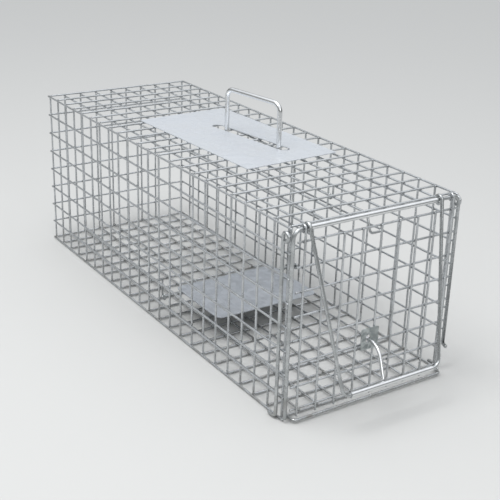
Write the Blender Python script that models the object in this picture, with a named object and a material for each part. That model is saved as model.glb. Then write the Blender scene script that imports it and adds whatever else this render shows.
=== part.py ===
"""Live catch trap: a welded-wire cage with a drop door, a lock bail and a treadle release.

Run it in Blender 4.5: blender --background --python part.py
Units are metres, +Z is up, the door end faces -Y and the width runs along X.
The cage's own middle is the point that the dimensions below are measured from. One empty
carries it, so that the origin lands under the middle of the whole trap's box.
"""
import math

import bmesh
import bpy
from mathutils import Matrix, Vector

# ---------------------------------------------------------------- driving dimensions

# Welded mesh: an inch pitch along and up, nine narrower cells across.
CELL_LONG = 0.0254
CELL_WIDE = 0.0230
CELLS_LONG = 22
CELLS_HIGH = 8
CELLS_WIDE = 9
WIRE_HALF = 0.00125          # half the diagonal of a mesh wire's section
LAYER_STEP = 0.0022          # from one wire layer to the other: the ridges bite by 0.3 mm
WIRE_STUB = 0.0015           # how far a wire runs on past its last weld
GAP = 0.00035                # clearance kept between pieces that touch

# Cage box, between the middles of its edge wires.
HALF_WIDTH = CELL_WIDE * CELLS_WIDE / 2
HALF_LENGTH = CELL_LONG * CELLS_LONG / 2
TOP_EDGE_Z = CELL_LONG * CELLS_HIGH
EDGE_HALF = 0.00115          # half the side of the square bottom edge wires
ROOF_CROSS_Z = TOP_EDGE_Z + 0.0004
FLOOR_CROSS_Z = 0.0016

# Front hoop, which is also the hinge of the door and of the bail.
FRAME_WIRE = 0.0019          # radius of the thick frame wires
HINGE_Y = -HALF_LENGTH - 0.0082
HINGE_Z = 0.2030
HOOP_HALF = 0.1033
HOOP_BEND = 0.0090
HOOP_FOOT_Z = 0.0032
HOOP_STOP_Z = 0.0345         # where the right leg ends in its hook
SLEEVE_INNER = 0.0022
SLEEVE_OUTER = 0.0027

# Corner posts outside the side panels, each with a curled eye on top.
POST_X = HALF_WIDTH + WIRE_HALF + GAP + FRAME_WIRE
POST_Y = -HALF_LENGTH + 0.0024
POST_EYE = 0.0042
POST_EYE_Z = 0.1950
POST_FOOT = 0.0120

# Door.
DOOR_CELLS = 8
DOOR_HALF = 0.0990
DOOR_HOOK = FRAME_WIRE + 0.0004 + WIRE_HALF
DOOR_Y = HINGE_Y - DOOR_HOOK
DOOR_FIRST_Z = 0.0127
DOOR_ROWS = 8
DOOR_FOOT_Z = 0.0057
HOOK_SHANK_Z = 0.1923

# Sill that the door closes against.
SILL_WIRE = 0.0015
SILL_HALF = 0.0970
SILL_Z = 0.0031

# Lock bail: a trapezium of wire that leans out from the door.
BAIL_MID_X = -0.0060
BAIL_TOP_HALF = 0.0815
BAIL_FOOT_X = -0.0085
BAIL_FOOT_HALF = 0.0610
BAIL_LEG = 0.1672
BAIL_LEAN = math.radians(14.8)
BAIL_EYE = 2 * FRAME_WIRE + 0.00045
BAIL_BEND = 0.0090

# Latch on the door.
PLATE_SIZE = 0.0225
PLATE_HEIGHT = 0.0240
PLATE_THICK = 0.0012
PLATE_X = -0.0065
PLATE_Z = 0.0710
LATCH_X = -0.0090
LATCH_Z = 0.0712
LATCH_TAIL = 0.0060
LATCH_TAIL_UP = 0.0075
LATCH_NOSE = 0.0170
LATCH_BEND = 0.0240
LATCH_FOOT = (-0.0160, 0.0053, 0.0010)  # x, then the reach behind and above the bail's bar

# Guard plate and carry handle on the roof.
GUARD_X = 0.0115
GUARD_Y = -0.0040
GUARD_WIDE = 0.1240
GUARD_LONG = 0.2290
GUARD_THICK = 0.0010
GUARD_TURN = math.radians(2.5)
SLOT_X = 0.0242
SLOT_Y = -0.0183
SLOT_HALF = 0.0065
SLOT_LONG = 0.1320
SLOT_TURN = math.radians(8.0)
HANDLE_WIRE = 0.0030
HANDLE_ROWS = (12, 8)        # the roof cross wires that its two feet catch under
HANDLE_X = (0.0166, 0.0290)
HANDLE_RISE = 0.0535
HANDLE_BEND = 0.0100
HANDLE_FOOT = 0.0140
HANDLE_FOOT_BEND = 0.0050

# Treadle.
AXLE_WIRE = 0.0020
AXLE_Y = -CELL_LONG
AXLE_Z = 0.0291
AXLE_HALF = 0.0985
TREADLE_X = -0.0045
TREADLE_WIDE = 0.1380
TREADLE_FRONT_Y = -0.1130
TREADLE_BACK_Y = -0.0150
TREADLE_THICK = 0.0012
STRAP_REACH = 0.0090
STRAP_THICK = 0.0010
STRAP_WIDE = 0.0120
STRAP_X = 0.0480
BRACKET_WIRE = 0.0012
BRACKET_X = 0.0950
BRACKET_TOP_Z = 2 * CELL_LONG

# Trigger.
ARM_WIRE = 0.0014
ARM_X = 0.0840
ARM_TOP_Z = 0.1980
ROD_WIRE = 0.0013
ROD_X = 0.0040
ROD_Z = 0.1930
ROD_FRONT_Y = -0.2620
HOOK_Y = -0.2700
HOOK_Z = 0.1740
HOOK_SIDE = 0.0140
HOOK_LIP = 0.0060
GUIDE_WIRE = 0.0011
GUIDE_ROWS = (3, 8)          # the roof cross wires that carry the guides, from the front

# ---------------------------------------------------------------- places worked out

CROSS_Y = [-HALF_LENGTH + CELL_LONG * k for k in range(CELLS_LONG + 1)]
INNER_X = [-HALF_WIDTH + CELL_WIDE * k for k in range(1, CELLS_WIDE)]
LEVEL_Z = [CELL_LONG * j for j in range(1, CELLS_HIGH + 1)]
UPRIGHT_X = HALF_WIDTH - LAYER_STEP
CROSS_REACH = UPRIGHT_X - WIRE_HALF - GAP
HINGE = Vector((0, HINGE_Y, HINGE_Z))
LATCH_Y = DOOR_Y - WIRE_HALF - GAP - PLATE_THICK / 2
LATCH = Vector((LATCH_X, LATCH_Y, LATCH_Z))
AXLE = Vector((0, AXLE_Y, AXLE_Z))

BAIL_DOWN = Vector((0, -math.sin(BAIL_LEAN), -math.cos(BAIL_LEAN)))
BAIL_OUT = Vector((0, -math.cos(BAIL_LEAN), math.sin(BAIL_LEAN)))
BAIL_BAR = HINGE + BAIL_OUT * BAIL_EYE + BAIL_DOWN * BAIL_LEG

ARM_EYE = AXLE_WIRE + 0.0004 + ARM_WIRE
ARM_Y = AXLE_Y - ARM_EYE
ROD_EYE = ARM_WIRE + 0.0005 + ROD_WIRE
ROD_BACK_Y = ARM_Y - ROD_EYE
GUIDE_EYE = ROD_WIRE + 0.0005 + GUIDE_WIRE
BRACKET_EYE = AXLE_WIRE + 0.0004 + BRACKET_WIRE

FRONT_MOST_Y = BAIL_BAR.y - SLEEVE_OUTER
BACK_MOST_Y = HALF_LENGTH + LAYER_STEP + WIRE_HALF
CAGE_SHIFT_Y = -(FRONT_MOST_Y + BACK_MOST_Y) / 2

# ---------------------------------------------------------------- scene and materials


def clear_scene():
    """Remove whatever the file opened with."""
    for thing in list(bpy.data.objects):
        bpy.data.objects.remove(thing, do_unlink=True)


def make_collection(name):
    """Add a collection under the scene's own."""
    group = bpy.data.collections.new(name)
    bpy.context.scene.collection.children.link(group)
    return group


def make_material(name, colour, roughness, metallic=1.0):
    """Make a plain Principled material."""
    material = bpy.data.materials.new(name)
    material.use_nodes = True
    shader = material.node_tree.nodes["Principled BSDF"]
    shader.inputs["Base Color"].default_value = (*colour, 1.0)
    shader.inputs["Roughness"].default_value = roughness
    shader.inputs["Metallic"].default_value = metallic
    return material


clear_scene()
PARTS = make_collection("live_catch_trap")
CUTTERS = make_collection("cutters")

MESH_ZINC = make_material("mesh_zinc", (0.62, 0.63, 0.65), 0.35)
FRAME_ZINC = make_material("frame_zinc", (0.55, 0.56, 0.58), 0.40)
BRIGHT_ZINC = make_material("bright_zinc", (0.70, 0.71, 0.73), 0.30)
SHEET_ZINC = make_material("sheet_zinc", (0.68, 0.70, 0.74), 0.45)
TREADLE_ZINC = make_material("treadle_zinc", (0.42, 0.44, 0.48), 0.50)
DULL_ZINC = make_material("dull_zinc", (0.34, 0.37, 0.37), 0.60)


class Body:
    """One rigid body: its pieces hang on an empty that stands on the body's joint."""

    def __init__(self, name, pivot, parent=None):
        self.pivot = Vector(pivot)
        self.empty = bpy.data.objects.new(name, None)
        self.empty.empty_display_size = 0.02
        PARTS.objects.link(self.empty)
        if parent:
            self.empty.parent = parent.empty
            self.empty.location = self.pivot - parent.pivot

    def take(self, piece, material, place=None):
        """Hang a piece on this body, with its own origin at the given place."""
        PARTS.objects.link(piece)
        piece.data.materials.append(material)
        piece.parent = self.empty
        piece.location = (Vector(place) if place else self.pivot) - self.pivot
        return piece


CAGE = Body("cage_middle", (0, 0, 0))
CAGE.empty.location = (0, CAGE_SHIFT_Y, 0)
DOOR = Body("door_hinge", HINGE, CAGE)
BAIL = Body("bail_hinge", HINGE, CAGE)
LATCH_BODY = Body("latch_pivot", LATCH, DOOR)
TREADLE = Body("treadle_hinge", AXLE, CAGE)
TRIGGER = Body("trigger_slide", (ROD_X, ROD_BACK_Y, ROD_Z), CAGE)

# ---------------------------------------------------------------- shapes


def bent(points, radii, steps=4):
    """Round the inner corners of a run of points, as a wire is bent over a former."""
    points = [Vector(point) for point in points]
    if not isinstance(radii, list):
        radii = [radii] * (len(points) - 2)
    path = [points[0]]
    for before, corner, after, radius in zip(points, points[1:], points[2:], radii):
        back = (before - corner).normalized()
        ahead = (after - corner).normalized()
        half = back.angle(ahead) / 2
        middle = corner + (back + ahead).normalized() * radius / math.sin(half)
        spoke = corner + back * radius / math.tan(half) - middle
        turn = math.pi - 2 * half
        axis = spoke.cross(corner + ahead * radius / math.tan(half) - middle)
        for i in range(steps + 1):
            path.append(middle + Matrix.Rotation(turn * i / steps, 3, axis) @ spoke)
    path.append(points[-1])
    return path


def ring(middle, radius, start, sweep, across, up, steps=9):
    """Points round an eye, in degrees; across is 0 degrees and up is 90 degrees."""
    points = []
    for i in range(steps + 1):
        angle = math.radians(start + sweep * i / steps)
        points.append(middle + (across * math.cos(angle) + up * math.sin(angle)) * radius)
    return points


X_AXIS, Y_AXIS, Z_AXIS = Vector((1, 0, 0)), Vector((0, 1, 0)), Vector((0, 0, 1))


def add_wire(name, points, radius, body, material, sides=8):
    """Add a round wire along its points."""
    curve = bpy.data.curves.new(name, "CURVE")
    curve.dimensions = "3D"
    curve.bevel_depth = radius
    curve.bevel_resolution = sides // 2 - 2
    curve.render_resolution_u = 0
    curve.use_fill_caps = True
    spline = curve.splines.new("POLY")
    spline.points.add(len(points) - 1)
    for slot, point in zip(spline.points, points):
        slot.co = (*(Vector(point) - body.pivot), 1.0)
    return body.take(bpy.data.objects.new(name, curve), material)


FACING = {
    "XY": (0, 0, 0),
    "XZ": (math.pi / 2, 0, 0),
    "YZ": (math.pi / 2, 0, math.pi / 2),
}


def add_sheet(name, outlines, thickness, plane, place, body, material):
    """Add a flat piece from closed outlines in a plane; later outlines are its holes."""
    curve = bpy.data.curves.new(name, "CURVE")
    curve.dimensions = "2D"
    curve.fill_mode = "BOTH"
    curve.extrude = thickness / 2
    curve.render_resolution_u = 0
    for outline in outlines:
        spline = curve.splines.new("POLY")
        spline.points.add(len(outline) - 1)
        for slot, (across, up) in zip(spline.points, outline):
            slot.co = (across, up, 0, 1)
        spline.use_cyclic_u = True
    piece = body.take(bpy.data.objects.new(name, curve), material, place)
    piece.rotation_euler = FACING[plane]
    return piece


def round_box(wide, high, corner, steps=3):
    """Outline of a rectangle with round corners, about its own middle."""
    outline = []
    for turn, (sign_x, sign_y) in enumerate(((1, 1), (-1, 1), (-1, -1), (1, -1))):
        for i in range(steps + 1):
            angle = math.radians(90 * (turn + i / steps))
            outline.append((
                sign_x * (wide / 2 - corner) + corner * math.cos(angle),
                sign_y * (high / 2 - corner) + corner * math.sin(angle),
            ))
    return outline


def shifted(outline, across, up):
    """The same outline moved in its plane."""
    return [(x + across, y + up) for x, y in outline]


def turned(outline, angle):
    """The same outline turned in its plane."""
    cos, sin = math.cos(angle), math.sin(angle)
    return [(x * cos - y * sin, x * sin + y * cos) for x, y in outline]


def disc(radius, sides=12):
    """Outline of a circle."""
    turns = [2 * math.pi * i / sides for i in range(sides)]
    return [(radius * math.cos(turn), radius * math.sin(turn)) for turn in turns]


def lay_wires(name, axis, start, end, places, half, square=False):
    """Make one mesh of parallel straight wires: each is a bar from start to end."""
    mesh = bpy.data.meshes.new(name)
    form = bmesh.new()
    side = 2 * half if square else half * math.sqrt(2)
    for place in places:
        middle = Vector(place)
        middle[axis] = (start + end) / 2
        size = Vector((side, side, side))
        size[axis] = end - start
        turn = 0 if square else math.pi / 4
        matrix = Matrix.Translation(middle) @ Matrix.Rotation(turn, 4, "XYZ"[axis])
        bmesh.ops.create_cube(form, size=1.0, matrix=matrix @ Matrix.Diagonal((*size, 1)))
    form.to_mesh(mesh)
    form.free()
    return mesh


def weld_layers(name, layers, body):
    """Join crossing layers of wires into one welded panel."""
    for mesh in layers:
        mesh.transform(Matrix.Translation(-body.pivot))
    panel = body.take(bpy.data.objects.new(name, layers[0]), MESH_ZINC)
    for number, mesh in enumerate(layers[1:]):
        cutter = bpy.data.objects.new(f"{name}_layer_{number + 2}", mesh)
        CUTTERS.objects.link(cutter)
        cutter.parent = body.empty
        cutter.hide_render = True
        cutter.display_type = "WIRE"
        join = panel.modifiers.new(f"weld_{number + 2}", "BOOLEAN")
        join.operation = "UNION"
        join.solver = "EXACT"
        join.object = cutter
    return panel


# ---------------------------------------------------------------- mesh panels


def build_roof():
    """Roof: cross wires on top of the inner long wires, between the two edge wires."""
    long_z = ROOF_CROSS_Z - LAYER_STEP
    long_front = HINGE_Y + SLEEVE_OUTER + 2 * GAP
    longs = lay_wires("roof_mesh", 1, long_front, HALF_LENGTH + WIRE_STUB,
                      [(x, 0, long_z) for x in INNER_X], WIRE_HALF)
    crosses = lay_wires("roof_cross", 0, -CROSS_REACH, CROSS_REACH,
                        [(0, y, ROOF_CROSS_Z) for y in CROSS_Y], WIRE_HALF)
    weld_layers("roof_mesh", [longs, crosses], CAGE)


def build_floor():
    """Floor: cross wires below, long wires above."""
    long_z = FLOOR_CROSS_Z + LAYER_STEP
    reach = HALF_LENGTH + WIRE_STUB
    longs = lay_wires("floor_mesh", 1, -reach, reach,
                      [(x, 0, long_z) for x in INNER_X], WIRE_HALF)
    crosses = lay_wires("floor_cross", 0, -CROSS_REACH, CROSS_REACH,
                        [(0, y, FLOOR_CROSS_Z) for y in CROSS_Y], WIRE_HALF)
    weld_layers("floor_mesh", [longs, crosses], CAGE)


def build_side(name, side):
    """Side: long wires outside, uprights inside, with a square bottom edge wire."""
    front = HINGE_Y + FRAME_WIRE + 2 * GAP
    back = HALF_LENGTH + WIRE_STUB
    longs = lay_wires(name, 1, front, back,
                      [(side * HALF_WIDTH, 0, z) for z in LEVEL_Z], WIRE_HALF)
    uprights = lay_wires(f"{name}_uprights", 2, GAP, TOP_EDGE_Z + 0.001,
                         [(side * UPRIGHT_X, y, 0) for y in CROSS_Y], WIRE_HALF)
    edge = lay_wires(f"{name}_edge", 1, front, back,
                     [(side * HALF_WIDTH, 0, EDGE_HALF)], EDGE_HALF, square=True)
    weld_layers(name, [longs, uprights, edge], CAGE)


def build_rear():
    """Rear end: uprights in line with the last cross wires, level wires outside them."""
    floor_top = FLOOR_CROSS_Z + LAYER_STEP + WIRE_HALF + GAP
    roof_under = ROOF_CROSS_Z - LAYER_STEP - WIRE_HALF - GAP
    uprights = lay_wires("rear_mesh", 2, floor_top, roof_under,
                         [(x, HALF_LENGTH, 0) for x in INNER_X], WIRE_HALF)
    levels = lay_wires("rear_levels", 0, -CROSS_REACH, CROSS_REACH,
                       [(0, HALF_LENGTH + LAYER_STEP, z) for z in LEVEL_Z[:-1]], WIRE_HALF)
    weld_layers("rear_mesh", [uprights, levels], CAGE)


# ---------------------------------------------------------------- front frame


def build_front_frame():
    """Hoop round the door opening, the sleeve on its top run, the sill and the posts."""
    hoop = bent([
        (-HOOP_HALF, HINGE_Y, HOOP_FOOT_Z),
        (-HOOP_HALF, HINGE_Y, HINGE_Z),
        (HOOP_HALF, HINGE_Y, HINGE_Z),
        (HOOP_HALF, HINGE_Y, HOOP_STOP_Z),
    ], HOOP_BEND)
    hoop.append(Vector((HOOP_HALF, HINGE_Y - FRAME_WIRE, HOOP_STOP_Z - FRAME_WIRE)))
    hoop.append(Vector((HOOP_HALF, HINGE_Y - 3 * FRAME_WIRE, HOOP_STOP_Z - FRAME_WIRE)))
    add_wire("front_hoop", hoop, FRAME_WIRE, CAGE, FRAME_ZINC)

    left = BAIL_MID_X - BAIL_TOP_HALF + FRAME_WIRE + GAP
    right = BAIL_MID_X + BAIL_TOP_HALF - FRAME_WIRE - GAP
    add_sheet("hinge_sleeve", [disc(SLEEVE_OUTER), disc(SLEEVE_INNER)], right - left, "YZ",
              ((left + right) / 2, HINGE_Y, HINGE_Z), CAGE, BRIGHT_ZINC)

    sill_y = DOOR_Y - WIRE_HALF - GAP - SILL_WIRE
    sill_back = -HALF_LENGTH - WIRE_HALF - 2 * GAP
    add_wire("sill_wire", bent([
        (-SILL_HALF, sill_back, SILL_Z),
        (-SILL_HALF, sill_y, SILL_Z),
        (SILL_HALF, sill_y, SILL_Z),
        (SILL_HALF, sill_back, SILL_Z),
    ], 0.004, 3), SILL_WIRE, CAGE, FRAME_ZINC)

    for name, side in (("left_corner_post", -1), ("right_corner_post", 1)):
        foot_z = FRAME_WIRE + GAP
        eye_middle = Vector((side * POST_X, POST_Y - POST_EYE, POST_EYE_Z))
        stem = bent([
            (side * POST_X, POST_Y + POST_FOOT, foot_z),
            (side * POST_X, POST_Y, foot_z),
            (side * POST_X, POST_Y, POST_EYE_Z - 0.004),
        ], 0.005, 3)
        curl = ring(eye_middle, POST_EYE, 0, 285, Y_AXIS, Z_AXIS)
        add_wire(name, stem + curl, FRAME_WIRE, CAGE, FRAME_ZINC)


# ---------------------------------------------------------------- door and latch


def build_door():
    """Door panel and the two hooks that hang it on the hoop."""
    columns = [CELL_WIDE * (k - DOOR_CELLS / 2) for k in range(DOOR_CELLS + 1)]
    rows = [DOOR_FIRST_Z + CELL_LONG * i for i in range(DOOR_ROWS)]
    uprights = lay_wires("door_mesh", 2, DOOR_FOOT_Z, HOOK_SHANK_Z - GAP,
                         [(x, DOOR_Y, 0) for x in columns], WIRE_HALF)
    levels = lay_wires("door_levels", 0, -DOOR_HALF, DOOR_HALF,
                       [(0, DOOR_Y + LAYER_STEP, z) for z in rows], WIRE_HALF)
    weld_layers("door_mesh", [uprights, levels], DOOR)

    for name, x in (("door_hook_left", columns[0]), ("door_hook_right", columns[-1])):
        middle = Vector((x, HINGE_Y, HINGE_Z))
        curl = ring(middle, DOOR_HOOK, 180, -285, Y_AXIS, Z_AXIS)
        add_wire(name, [Vector((x, DOOR_Y, HOOK_SHANK_Z))] + curl, WIRE_HALF, DOOR, MESH_ZINC)


def build_latch():
    """Latch plate on the door, and the hook that swings in its slot."""
    slot = shifted(round_box(0.0054, 0.0092, 0.0026, 4), LATCH_X - PLATE_X, LATCH_Z - PLATE_Z)
    add_sheet("latch_plate", [round_box(PLATE_SIZE, PLATE_HEIGHT, 0.0018, 2), slot],
              PLATE_THICK, "XZ", (PLATE_X, LATCH_Y, PLATE_Z), DOOR, DULL_ZINC)

    behind = LATCH_Y + LATCH_TAIL
    tail = bent([
        (LATCH_X, behind, LATCH_Z + LATCH_TAIL_UP),
        (LATCH_X, behind, LATCH_Z),
        (LATCH_X, LATCH_Y, LATCH_Z),
    ], 0.003, 3)
    foot = BAIL_BAR + Vector(LATCH_FOOT)
    nose = bent([
        (LATCH_X, LATCH_Y, LATCH_Z),
        (LATCH_X, LATCH_Y - LATCH_NOSE, LATCH_Z),
        foot,
    ], LATCH_BEND, 6)
    add_wire("latch_hook", tail + nose[1:], FRAME_WIRE, LATCH_BODY, BRIGHT_ZINC)


def build_bail():
    """Lock bail: two eyes on the hoop, two legs and a bar with a tube over it."""
    lean = math.degrees(BAIL_LEAN)

    def eye(x):
        middle = Vector((x, HINGE_Y, HINGE_Z))
        return ring(middle, BAIL_EYE, 180 - lean, -265, Y_AXIS, Z_AXIS)

    left_top = BAIL_MID_X - BAIL_TOP_HALF
    right_top = BAIL_MID_X + BAIL_TOP_HALF
    left_eye, right_eye = eye(left_top), eye(right_top)
    legs = bent([
        left_eye[0],
        BAIL_BAR + X_AXIS * (BAIL_FOOT_X - BAIL_FOOT_HALF),
        BAIL_BAR + X_AXIS * (BAIL_FOOT_X + BAIL_FOOT_HALF),
        right_eye[0],
    ], BAIL_BEND)
    add_wire("lock_bail", left_eye[:0:-1] + legs + right_eye[1:], FRAME_WIRE, BAIL, FRAME_ZINC)

    tube = 2 * (BAIL_FOOT_HALF - BAIL_BEND)
    add_sheet("bail_tube", [disc(SLEEVE_OUTER), disc(SLEEVE_INNER)], tube, "YZ",
              BAIL_BAR + X_AXIS * BAIL_FOOT_X, BAIL, BRIGHT_ZINC)


# ---------------------------------------------------------------- roof plate and handle


def build_guard_and_handle():
    """Guard plate with its slot, and the handle that stands up through it."""
    under = ROOF_CROSS_Z + WIRE_HALF + GAP
    plate = turned(round_box(GUARD_WIDE, GUARD_LONG, 0.002, 2), GUARD_TURN)
    slot = turned(round_box(2 * SLOT_HALF, SLOT_LONG, SLOT_HALF * 0.98, 5), SLOT_TURN)
    add_sheet("guard_plate", [plate, shifted(slot, SLOT_X - GUARD_X, SLOT_Y - GUARD_Y)],
              GUARD_THICK, "XY", (GUARD_X, GUARD_Y, under + GUARD_THICK / 2),
              CAGE, SHEET_ZINC)

    beside = HANDLE_WIRE + WIRE_HALF + 2 * GAP
    foot_z = ROOF_CROSS_Z - beside
    grip_z = TOP_EDGE_Z + HANDLE_RISE
    back = CROSS_Y[HANDLE_ROWS[0]] - beside
    front = CROSS_Y[HANDLE_ROWS[1]] + beside
    back_x, front_x = HANDLE_X
    add_wire("carry_handle", bent([
        (back_x, back + HANDLE_FOOT, foot_z),
        (back_x, back, foot_z),
        (back_x, back, grip_z),
        (front_x, front, grip_z),
        (front_x, front, foot_z),
        (front_x, front - HANDLE_FOOT, foot_z),
    ], [HANDLE_FOOT_BEND, HANDLE_BEND, HANDLE_BEND, HANDLE_FOOT_BEND], 5),
        HANDLE_WIRE, CAGE, BRIGHT_ZINC, sides=10)


# ---------------------------------------------------------------- treadle and trigger


def strap_outline():
    """Saddle strap seen along the axle: two flanges and a half round under the axle."""
    flange = AXLE_WIRE
    inner = AXLE_WIRE + GAP
    outer = inner + STRAP_THICK
    low = flange - STRAP_THICK
    outline = [(-STRAP_REACH, flange), (-inner, flange)]
    for i in range(7):
        angle = math.pi * (1 + i / 6)
        outline.append((inner * math.cos(angle), inner * math.sin(angle)))
    outline += [(inner, flange), (STRAP_REACH, flange), (STRAP_REACH, low), (outer, low)]
    for i in range(7):
        angle = -math.pi * i / 6
        outline.append((outer * math.cos(angle), outer * math.sin(angle)))
    outline += [(-outer, low), (-STRAP_REACH, low)]
    return outline


def build_treadle():
    """Treadle plate, its axle, the straps between them, and the axle's brackets."""
    depth = TREADLE_BACK_Y - TREADLE_FRONT_Y
    plate_z = AXLE_Z + AXLE_WIRE + GAP + TREADLE_THICK / 2
    add_sheet("treadle_plate", [round_box(TREADLE_WIDE, depth, 0.008, 4)], TREADLE_THICK, "XY",
              (TREADLE_X, (TREADLE_BACK_Y + TREADLE_FRONT_Y) / 2, plate_z),
              TREADLE, TREADLE_ZINC)
    add_wire("treadle_axle", [(-AXLE_HALF, AXLE_Y, AXLE_Z), (AXLE_HALF, AXLE_Y, AXLE_Z)],
             AXLE_WIRE, TREADLE, FRAME_ZINC, sides=12)
    for name, side in (("axle_strap_left", -1), ("axle_strap_right", 1)):
        add_sheet(name, [strap_outline()], STRAP_WIDE, "YZ",
                  (TREADLE_X + side * STRAP_X, AXLE_Y, AXLE_Z), TREADLE, DULL_ZINC)
    for name, side in (("axle_bracket_left", -1), ("axle_bracket_right", 1)):
        middle = Vector((side * BRACKET_X, AXLE_Y, AXLE_Z))
        curl = ring(middle, BRACKET_EYE, -255, 255, Y_AXIS, Z_AXIS)
        stem = bent([
            curl[-1],
            (side * BRACKET_X, AXLE_Y + BRACKET_EYE, BRACKET_TOP_Z),
            (side * (HALF_WIDTH - WIRE_HALF - GAP), AXLE_Y + BRACKET_EYE, BRACKET_TOP_Z),
        ], 0.003, 3)
        add_wire(name, curl[:-1] + stem, BRACKET_WIRE, CAGE, FRAME_ZINC)


def build_trigger():
    """Lever arm on the axle, the sliding trigger rod it moves, and the rod's guides."""
    axle_middle = Vector((ARM_X, AXLE_Y, AXLE_Z))
    curl = ring(axle_middle, ARM_EYE, 435, -255, Y_AXIS, Z_AXIS)
    add_wire("lever_arm", curl + [Vector((ARM_X, ARM_Y, ARM_TOP_Z))], ARM_WIRE,
             TREADLE, FRAME_ZINC)

    arm_middle = Vector((ARM_X, ARM_Y, ROD_Z))
    rod = bent([
        (ROD_X + HOOK_SIDE, HOOK_Y, HOOK_Z + HOOK_LIP),
        (ROD_X + HOOK_SIDE, HOOK_Y, HOOK_Z),
        (ROD_X, HOOK_Y, HOOK_Z),
        (ROD_X, ROD_FRONT_Y, ROD_Z),
        (ROD_X, ROD_BACK_Y, ROD_Z),
        (ARM_X, ROD_BACK_Y, ROD_Z),
    ], 0.003, 3)
    rod = rod[:-1] + ring(arm_middle, ROD_EYE, -90, 255, X_AXIS, Y_AXIS)
    add_wire("trigger_rod", rod, ROD_WIRE, TRIGGER, FRAME_ZINC)

    for name, row in zip(("trigger_guide_front", "trigger_guide_rear"), GUIDE_ROWS):
        middle = Vector((ROD_X, CROSS_Y[row], ROD_Z))
        curl = ring(middle, GUIDE_EYE, -255, 255, X_AXIS, Z_AXIS)
        top = Vector((ROD_X + GUIDE_EYE, CROSS_Y[row], ROOF_CROSS_Z - WIRE_HALF - GAP))
        add_wire(name, curl + [top], GUIDE_WIRE, CAGE, FRAME_ZINC)


build_roof()
build_floor()
build_side("left_side_mesh", -1)
build_side("right_side_mesh", 1)
build_rear()
build_front_frame()
build_door()
build_latch()
build_bail()
build_guard_and_handle()
build_treadle()
build_trigger()
bpy.context.view_layer.update()
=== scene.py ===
"""Looks of a live catch trap: round welded wire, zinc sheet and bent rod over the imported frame.

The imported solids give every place. The welded panels, the bent rods, the sleeves and the
flat pieces are built again here with round wire, weld beads, soft edges and cut ends, and
each one rides on the body of the solid that it stands for.
"""

import logging
import math
import random
from dataclasses import dataclass, field
from enum import Enum
from typing import Iterable, Sequence

import bpy
from mathutils import Matrix, Vector


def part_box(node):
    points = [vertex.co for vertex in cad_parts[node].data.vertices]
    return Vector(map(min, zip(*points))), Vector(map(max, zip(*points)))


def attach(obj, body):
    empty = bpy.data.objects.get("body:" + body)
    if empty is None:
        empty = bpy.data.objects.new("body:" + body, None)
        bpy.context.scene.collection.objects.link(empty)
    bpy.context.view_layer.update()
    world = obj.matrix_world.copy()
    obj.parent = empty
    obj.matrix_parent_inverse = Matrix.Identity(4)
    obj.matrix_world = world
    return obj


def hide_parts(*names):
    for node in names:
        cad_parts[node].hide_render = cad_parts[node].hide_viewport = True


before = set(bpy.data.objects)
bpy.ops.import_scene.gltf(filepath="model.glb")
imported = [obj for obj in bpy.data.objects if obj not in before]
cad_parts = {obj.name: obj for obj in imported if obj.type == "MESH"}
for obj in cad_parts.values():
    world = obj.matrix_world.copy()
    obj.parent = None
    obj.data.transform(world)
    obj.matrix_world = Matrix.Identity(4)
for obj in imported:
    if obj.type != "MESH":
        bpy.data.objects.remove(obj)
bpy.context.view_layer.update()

LOG = logging.getLogger("trap")
X_AXIS, Y_AXIS, Z_AXIS = Vector((1, 0, 0)), Vector((0, 1, 0)), Vector((0, 0, 1))
SLEEVE_OUTER, SLEEVE_INNER = 0.00268, 0.0021
SLEEVE_EDGE, SHEET_EDGE, PLATE_EDGE = 0.0002, 0.0003, 0.0002
SMALL_BEND = 0.003
ROUND_SHARE = 0.96           # how much of a prism's reach its round wire has
Colour = tuple[float, float, float]
Outline = list[tuple[float, float]]


class Body(Enum):
    """The rigid bodies that the pieces ride on."""

    FRAME = "frame"
    DOOR = "door"
    LATCH = "latch"
    BAIL = "bail"
    TREADLE = "treadle"
    TRIGGER = "trigger"


class Plane(Enum):
    """The plane that a flat piece is cut in, as the turn that lays it there."""

    LEVEL = (0.0, 0.0, 0.0)
    FACING = (math.pi / 2, 0.0, 0.0)
    SIDEWAYS = (math.pi / 2, 0.0, math.pi / 2)


# ---------------------------------------------------------------- shade groups


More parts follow.
